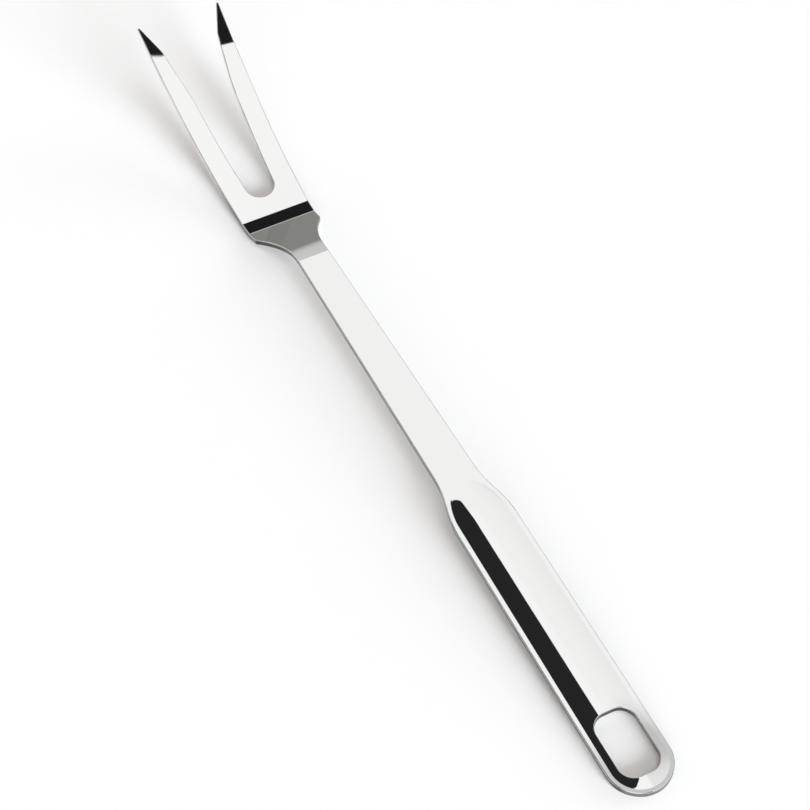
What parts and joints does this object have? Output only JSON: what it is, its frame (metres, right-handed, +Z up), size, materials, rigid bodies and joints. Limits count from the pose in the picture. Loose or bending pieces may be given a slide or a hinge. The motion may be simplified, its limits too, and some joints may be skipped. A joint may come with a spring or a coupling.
{
  "type": "meat fork",
  "caption": "Polished stainless meat fork: pressed handle with hanging slot, slim neck, crank down to the blade and long tines curving up to ground points.",
  "frame": {"origin": "under the middle of the fork's length, on the table it lies on, in its middle plane", "axes": "+Y runs from the handle's end to the points, +Z is up, +X is to the right seen from the handle's end; the fork lies as it rests, on the handle's end and on the heel of the crank"},
  "size_m": [0.0312, 0.33, 0.0303],
  "materials": {
    "polished_stainless": "mirror polished stainless steel sheet, rolled and tumbled edges"
  },
  "bodies": {
    "root": {"meat_fork": "polished_stainless"}
  },
  "joints": []
}
